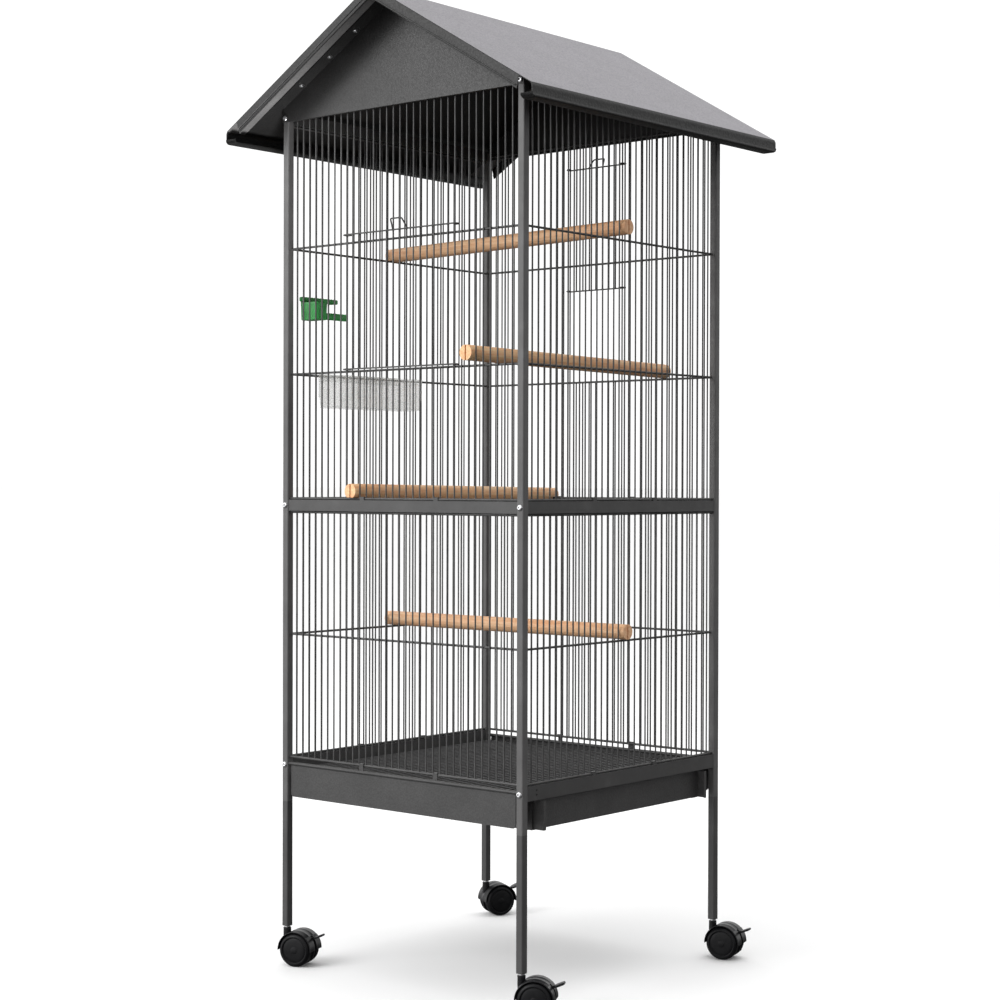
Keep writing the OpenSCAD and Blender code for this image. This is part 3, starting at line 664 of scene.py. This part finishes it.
def make_roof():
    """Both halves: the sheet, two rake flanges and the lip that stands in the ridge."""
    for name, flip in (("right", 1), ("left", -1)):
        bm = bmesh.new()
        add_roof_panel(bm)
        for side in (-1, 1):
            add_rake_flange(bm, side)
        add_box(bm, (0.1 * MM, -243 * MM, RIDGE_Z - 16 * MM), (1.3 * MM, 243 * MM, RIDGE_Z - 1.6 * MM))
        bmesh.ops.transform(bm, matrix=Matrix.Scale(flip, 4, (1, 0, 0)), verts=bm.verts)
        obj = stand_in("folded_roof_" + name, bm, "hammered_sheet", "cage", "roof_" + name, smooth=28)
        # every roof face starts with the near-black sheet: painted shade on the edges and inside
        obj.data.materials[0] = ROOF_PAINTED_SHADE
        # the top faces: the lighter copy, painted light
        obj.data.materials.append(ROOF)
        # the overhangs' undersides past the gables: the lighter copy, painted bounce light
        obj.data.materials.append(ROOF_UNDER_PAINTED_BOUNCE)
        for face in obj.data.polygons:
            sloped = abs(face.normal.y) < 0.1 and face.center.z > EAVE_Z - 1 * MM
            if sloped and face.normal.z > 0.6:
                face.material_index = 1
            elif sloped and face.normal.z < -0.6 and abs(face.center.y) > PAINTED_BOUNCE_Y:
                face.material_index = 2


# ---- feeders ----

def fluted_outline(w, h, r, depth, pitch):
    """A rectangle with round corners and small upright flutes along its sides."""
    out = []
    base = rounded_outline(w, h, r, 4)
    dense = []
    for a, b in zip(base, base[1:] + base[:1]):
        n = max(1, int(math.dist(a, b) / (pitch / 6)))
        dense += [(a[0] + (b[0] - a[0]) * i / n, a[1] + (b[1] - a[1]) * i / n) for i in range(n)]
    length = 0
    for i, p in enumerate(dense):
        length += math.dist(p, dense[i - 1])
        k = 1 - depth * (0.5 + 0.5 * math.cos(2 * math.pi * length / pitch)) / math.hypot(*p)
        out.append((p[0] * k, p[1] * k))
    return out


def add_bowl(bm, rows, matrix):
    """A hollow vessel from rows of (outline, height), from the outside foot to the inside floor."""
    cap_rows(bm, [add_ring(bm, [matrix @ Vector((x, y, z)) for x, y in outline]) for outline, z in rows])


def scaled(outline, sx, sy):
    return [(x * sx, y * sy) for x, y in outline]


def add_rounded_bar(bm, low, high, r):
    """A bar between two corners with its edges eased, all in millimetres."""
    low, high = in_mm([low, high])
    w, d, h = (b - a for a, b in zip(low, high))
    centre = Matrix.Translation(((low[0] + high[0]) / 2, (low[1] + high[1]) / 2, low[2]))
    r = min(r * MM, w * 0.45, d * 0.45, h * 0.45)
    rows = []
    for inset, z in ((1, 0), (0.3, 0.3), (0, 1)):
        back = 2 * r * inset * 0.98
        rows.append((rounded_outline(w - back, d - back, r * (1.02 - 0.9 * inset), 3), z * r))
    rows += [(outline, h - z) for outline, z in reversed(rows)]
    cap_rows(bm, [add_ring(bm, [centre @ Vector((x, y, z)) for x, y in outline]) for outline, z in rows])


def make_cup():
    """The green cup: a fluted bowl, its clip bar and finger ribs, a landing bar and two clips."""
    x0, y0, z0 = -246.5, -228, 1057
    bar_x, bar_z = -248.25, 1088.1
    landing_x = -214.4
    bm = bmesh.new()
    outer = fluted_outline(39.6 * MM, 26.8 * MM, 4 * MM, 0.7 * MM, 4.6 * MM)
    # how much each row is drawn in along X and Y, and its height above the foot
    rows = [(0.90, 0.90, 0.3), (0.94, 0.94, 0), (0.955, 0.955, 1.2), (0.985, 0.985, 22), (1, 1, 25),
            (1, 1, 28.6), (0.985, 0.985, 29), (0.93, 0.90, 28.8), (0.90, 0.86, 27), (0.87, 0.82, 3),
            (0.80, 0.74, 1.8)]
    place = Matrix.Translation(Vector((x0 + 19.9, y0 + 13.5, z0)) * MM)
    add_bowl(bm, [(scaled(outer, sx, sy), z * MM) for sx, sy, z in rows], place)
    add_rounded_bar(bm, (bar_x, y0 + 0.1, bar_z), (bar_x + 7.4, y0 + 83.9, bar_z + 7.6), 1.6)
    for i in range(12):
        y = y0 + 3 + i * 6.4
        add_rounded_bar(bm, (bar_x + 5.6, y, bar_z + 0.6), (bar_x + 7.7, y + 3.6, bar_z + 7.8), 0.8)
    add_box(bm, *in_mm([(bar_x + 2.2, y0 + 2, bar_z - 4), (bar_x + 4.4, y0 + 25, bar_z + 0.6)]))
    add_rounded_bar(bm, (landing_x, y0 + 26, z0 + 0.6), (landing_x + 7.6, y0 + 72.6, z0 + 10.2), 2)
    for i in range(8):
        y = y0 + 29 + i * 5.4
        add_rounded_bar(bm, (landing_x + 1, y, z0 + 9), (landing_x + 6.8, y + 2.8, z0 + 12), 0.9)
    for k in FEEDER_WIRES:
        y = k * PITCH / MM
        add_box(bm, *in_mm([(-254.3, y - 2.5, bar_z), (-247.8, y + 2.5, bar_z + 7.9)]))
        add_rounded_bar(bm, (-254.35, y - 5, bar_z), (-252.35, y + 5, bar_z + 7.9), 0.9)
    stand_in("fluted_cup", bm, "green_plastic", "feeding_cup", "feeding_cup", smooth=38)


def make_trough():
    """The clear trough: a stepped bowl with a thick rim, and the lip that hangs on the level wire."""
    wall_x = -250 + 2.75 + 1.8 + 0.1
    y0, z0 = -191, 913
    w, l, h = 58, 202, 54
    bm = bmesh.new()
    # how far each row is drawn in, its corner radius, and its height above the foot
    rows = [(4.6, 5, 0), (3.2, 6, 0.5), (2.6, 6, 2), (2, 6, 17), (0.9, 6, 19), (0.5, 6, 50.4), (0, 6, 51),
            (0, 6, 53.6), (0.4, 6, h), (1.6, 5, h), (2.1, 5, 53.4), (2.2, 5, 20), (3.4, 5, 17.5),
            (4.2, 4, 3), (5.6, 3, 2)]
    place = Matrix.Translation(Vector((wall_x + w / 2, y0 + l / 2, z0)) * MM)
    add_bowl(bm, [(rounded_outline((w - 2 * back) * MM, (l - 2 * back) * MM, r * MM), z * MM)
                  for back, r, z in rows], place)
    lip_z = 967 + 1.9
    near, far = y0 + 6, y0 + l - 6
    add_rounded_bar(bm, (wall_x + 0.05, near, z0 + 45), (wall_x + 1.95, far, lip_z + 1.9), 0.6)
    add_rounded_bar(bm, (-248.6, near, lip_z + 0.05), (wall_x + 1.9, far, lip_z + 1.95), 0.6)
    stand_in("clear_trough", bm, "clear_plastic", "feeding_trough", "feeding_trough", smooth=40)


# ---- casters ----

TRAIL = 22 * MM                 # from the swivel axis to the axle
AXLE_Z = 27 * MM
PIVOT_TURN = 38                 # where the brake's pin lies around the axle, in degrees
PIVOT_R = 25.5 * MM
LAID = Matrix.Rotation(math.pi / 2, 4, "X")     # lays a turned part's Z level, along its axle


def caster_matrix(corner):
    sx, sy, turn = CORNERS[corner]
    return Matrix.Translation((sx * HALF, sy * HALF, 0)) @ Matrix.Rotation(math.radians(turn), 4, "Z")


def axle_matrix(corner):
    """Z along the axle and X along the trail, at the middle of the axle."""
    return caster_matrix(corner) @ Matrix.Translation((TRAIL, 0, AXLE_Z)) @ LAID


def pivot_matrix(corner):
    """Z along the brake's pin and X away from the axle, at the middle of the pin."""
    turn = Matrix.Rotation(math.radians(PIVOT_TURN), 4, "Z")
    return axle_matrix(corner) @ turn @ Matrix.Translation((PIVOT_R, 0, 0))


def wheel_profile():
    """(radius, height) of one wheel, from its inner face outwards."""
    w = 15.7
    return in_mm([
        (0, 0.2), (9, 0.2), (9.5, 1.4), (21.5, 1.4), (22.5, 0), (25.2, 0), (26.4, 0.5), (27, 1.8), (27, 4.6),
        (26.75, 5.0), (26.75, 5.6), (27, 6.0), (27, 9.6), (26.8, 11.4), (26.0, 13.0), (24.6, w - 1.3),
        (22.9, w - 0.2), (22.2, w), (21.3, w - 0.15), (20.8, w - 0.8), (20.5, w - 1.7), (19.9, w - 1.9),
        (19.3, w - 1.5), (15.5, w - 0.95), (9, w - 0.6), (5.6, w - 0.5), (5.2, w - 0.2), (4.6, w), (0, w)])


def make_wheels(corner):
    """Two turned wheels with rings, treads and spokes on one axle."""
    bm = bmesh.new()
    m = axle_matrix(corner)
    add_lathe(bm, in_mm([(0, -19), (3, -19), (3, 19), (0, 19)]), 24, m)
    for flip in (0, math.pi):
        place = m @ Matrix.Rotation(flip, 4, "X") @ Matrix.Translation((0, 0, 6.3 * MM))
        add_lathe(bm, wheel_profile(), 72, place)
        for i in range(6):
            spoke = place @ Matrix.Rotation(math.radians(60 * i), 4, "Z")
            add_box(bm, *in_mm([(9.2, -0.8, 0.35), (22, 0.8, 1.6)]), spoke)
    body, node = "rollers_" + corner, "wheels_" + corner
    stand_in("turned_wheels_" + corner, bm, "wheel_plastic", body, node, smooth=32)


def shell_profile():
    """The hood's section, as (radius, height along the axle): a rounded cover with a raised middle rib."""
    half_w = 20.9
    rim = [(28.6, half_w - 0.3), (29.3, half_w), (29.9, half_w - 0.5), (30.15, half_w - 1.6)]
    beads = [(30.2, -8.6), (30.45, -8.1), (30.48, -7.2), (30.2, -6.6)]
    lower = [(r, -h) for r, h in rim] + beads
    upper = [(r, -h) for r, h in reversed(beads)] + rim[::-1]
    inside = [(28.55, half_w - 1.5), (28.5, 0), (28.55, -half_w + 1.5)]
    return in_mm(lower + upper + inside)


def arc(r, start, end, steps):
    """Points on an arc, with its angles in degrees."""
    turns = [math.radians(start + (end - start) * i / steps) for i in range(steps + 1)]
    return [(r * math.cos(a), r * math.sin(a)) for a in turns]


def make_hood(corner):
    """The moulded cover over both wheels, its web between them, and its ribbed neck."""
    bm = bmesh.new()
    m = axle_matrix(corner)
    add_arc_lathe(bm, shell_profile(), PIVOT_TURN + 8.5, 181, 40, m)
    for side in (-1, 1):
        lo, hi = sorted((side * 3.35, side * 20.9))
        strip = in_mm([(28.5, lo), (30.2, lo), (30.2, hi), (28.5, hi)])
        add_arc_lathe(bm, strip, -1.5, PIVOT_TURN + 8.8, 14, m)
    make_web(bm, arc(29.4 * MM, -28, 208, 40), m)
    neck = caster_matrix(corner)
    add_lathe(bm, neck_profile(), 36, neck)
    for k in range(6):
        rib = neck @ Matrix.Rotation(math.radians(60 * k + 30), 4, "Z")
        add_box(bm, *in_mm([(5, -0.5, 45), (6.35, 0.5, 57.5)]), rib)
    add_lathe(bm, in_mm([(0, -5), (1.3, -5), (1.3, 5), (0, 5)]), 20, pivot_matrix(corner))
    body, node = "caster_" + corner, "hood_" + corner
    stand_in("moulded_hood_" + corner, bm, "black_plastic", body, node, smooth=32)


def make_web(bm, outline, m):
    """The plate between the wheels, in two cheeks with the lever's slot between them."""
    for lo, hi in ((-5.4, -3.35), (3.35, 5.4)):
        add_prism(bm, outline, lo * MM, hi * MM, m)
    core = arc(29.3 * MM, 56, 208, 32)
    core += [(14 * MM * math.cos(math.radians(208)), -13 * MM), (13 * MM, -13 * MM), (15.5 * MM, 6 * MM)]
    add_prism(bm, core, -3.3 * MM, 3.3 * MM, m)


def neck_profile():
    """(radius, height above the floor) of the socket that the stem goes into."""
    return in_mm([
        (0, 36), (5.2, 36), (5.9, 42), (6.0, 45), (6.0, 57.4), (6.35, 57.9), (6.4, 59.2), (6.1, 60.2),
        (5.4, 60.6), (3.6, 60.6), (3.6, 60.3), (0, 60.3)])


def make_brake(corner):
    """A brake lever: a round boss on its pin, a tongue, and a flat pedal with eased edges."""
    lever_turn = 22
    bm = bmesh.new()
    m = pivot_matrix(corner) @ Matrix.Rotation(math.radians(lever_turn - PIVOT_TURN), 4, "Z")
    boss = in_mm([(0, -3), (3.7, -3), (4, -2.6), (4, 2.6), (3.7, 3), (0, 3)])
    add_lathe(bm, boss, 32, m)
    tongue = in_mm([(0, -2.0), (12.6, -1.9), (12.6, 1.6), (8, 2.1), (0, 2.4)])
    add_prism(bm, tongue, -2.9 * MM, 2.9 * MM, m)
    flat = m @ Matrix.Rotation(-math.pi / 2, 4, "X")
    pedal = flat @ Matrix.Translation((17.2 * MM, 0, 0))
    layers = [(0.86, -1.7), (0.97, -1.45), (1.0, -0.9), (1.0, 0.9), (0.97, 1.4), (0.9, 1.65)]
    outline = rounded_outline(15.4 * MM, 15.8 * MM, 3.5 * MM)
    rows = [[pedal @ Vector((x * s, y * s, z * MM)) for x, y in outline] for s, z in layers]
    cap_rows(bm, [add_ring(bm, row) for row in rows])
    stand_in("ribbed_brake_" + corner, bm, "black_plastic", "pedal_" + corner, "brake_" + corner, smooth=32)


def make_casters():
    for corner in CORNERS:
        make_wheels(corner)
        make_hood(corner)
        make_brake(corner)


# ---- camera, lights and floor ----

def make_camera():
    """The lens and place that were solved from the cage's square plan."""
    data = bpy.data.cameras.new("camera")
    cam = bpy.data.objects.new("camera", data)
    bpy.context.scene.collection.objects.link(cam)
    data.sensor_width = 36
    data.lens = 72.74
    data.clip_end = 900
    yaw, pitch, roll = (math.radians(a) for a in (40.327, -0.423, 0.144))
    forward = Vector((-math.sin(yaw) * math.cos(pitch), math.cos(yaw) * math.cos(pitch), math.sin(pitch)))
    turn = forward.to_track_quat("-Z", "Y").to_matrix().to_4x4() @ Matrix.Rotation(roll, 4, "Z")
    cam.matrix_world = Matrix.Translation((2.1595, -2.5515, 0.7866)) @ turn
    bpy.context.scene.camera = cam


def area_light(name, place, aim, size, power, spread=180):
    """A rectangular lamp that the camera doesn't see. spread is in degrees."""
    data = bpy.data.lights.new(name, "AREA")
    data.shape = "RECTANGLE"
    data.size, data.size_y = size
    data.energy = power
    data.spread = math.radians(spread)
    light = bpy.data.objects.new(name, data)
    bpy.context.scene.collection.objects.link(light)
    place = Vector(place)
    light.visible_camera = False
    turn = (Vector(aim) - place).to_track_quat("-Z", "Y").to_matrix().to_4x4()
    light.matrix_world = Matrix.Translation(place) @ turn


def make_world():
    """White above the horizon and dim below it, darker to the right, with a bright panel low in front."""
    world = bpy.data.worlds.new("studio")
    bpy.context.scene.world = world
    world.use_nodes = True
    tree = world.node_tree
    back = next(n for n in tree.nodes if n.type == "BACKGROUND")
    coord = tree.nodes.new("ShaderNodeTexCoord")
    parts = tree.nodes.new("ShaderNodeSeparateXYZ")
    tree.links.new(coord.outputs["Generated"], parts.inputs[0])
    height = mix_maths(tree, mix_maths(tree, parts.outputs[2], 2.0, "MULTIPLY"), 0.5)
    sky = ramp(tree, height, [(0.40, 0.09), (0.494, 1.0)])
    dim = ramp(tree, parts.outputs[0], [(0.15, 1.0), (0.62, 0.60)])
    left = mix_maths(tree, parts.outputs[0], -0.62, "MULTIPLY")
    front = mix_maths(tree, left, mix_maths(tree, parts.outputs[1], -0.78, "MULTIPLY"))
    rise = ramp(tree, height, [(0.0, 0.12), (0.3, 0.75), (0.5, 1.0), (0.68, 0.45), (0.95, 0.1)])
    panel = mix_maths(tree, ramp(tree, front, [(0.25, 0.0), (0.75, 1.4)]), rise, "MULTIPLY")
    tree.links.new(mix_maths(tree, mix_maths(tree, sky, dim, "MULTIPLY"), panel), back.inputs["Color"])
    back.inputs["Strength"].default_value = 1.12


def make_floor():
    """A plain pale floor, so wide that its edge is the horizon."""
    half = 400
    bm = bmesh.new()
    add_ring(bm, [(-half, -half, 0), (half, -half, 0), (half, half, 0), (-half, half, 0)])
    bm.faces.new(bm.verts)
    floor = link_mesh("floor", bm, 0)
    mat, tree, shader = new_material("floor_paper")
    at = object_coords(tree)
    fill(tree, shader,
         ramp(tree, noise(tree, at, 3, 4), [(0.3, 0.96), (0.7, 0.98)]),
         ramp(tree, noise(tree, at, 90, 4), [(0.3, 0.8), (0.7, 0.95)]))
    shader.inputs["Specular IOR Level"].default_value = 0.1
    floor.data.materials.append(mat)
    floor.visible_diffuse = False
    floor.visible_glossy = False


def make_stage():
    make_camera()
    make_world()
    make_floor()
    area_light("key", (-1.6, -4.2, 3.2), (0, 0, 0.9), (2.6, 2.6), 110)
    area_light("top", (0.6, 0.4, 4.6), (0, 0, 0.6), (3.0, 3.0), 50)
    area_light("eave_fill", (0.15, -0.52, 0.55), (-0.29, -0.29, 1.40), (0.25, 0.25), 0.38, 30)
    bpy.context.scene.view_settings.view_transform = "Standard"


make_stage()
dress_nodes()
make_perches()
make_door("door_front", 0, 8)
make_door("door_rear", 180, 4)
make_frame_bolts()
make_roof_screws()
make_roof()
make_cup()
make_trough()
make_casters()
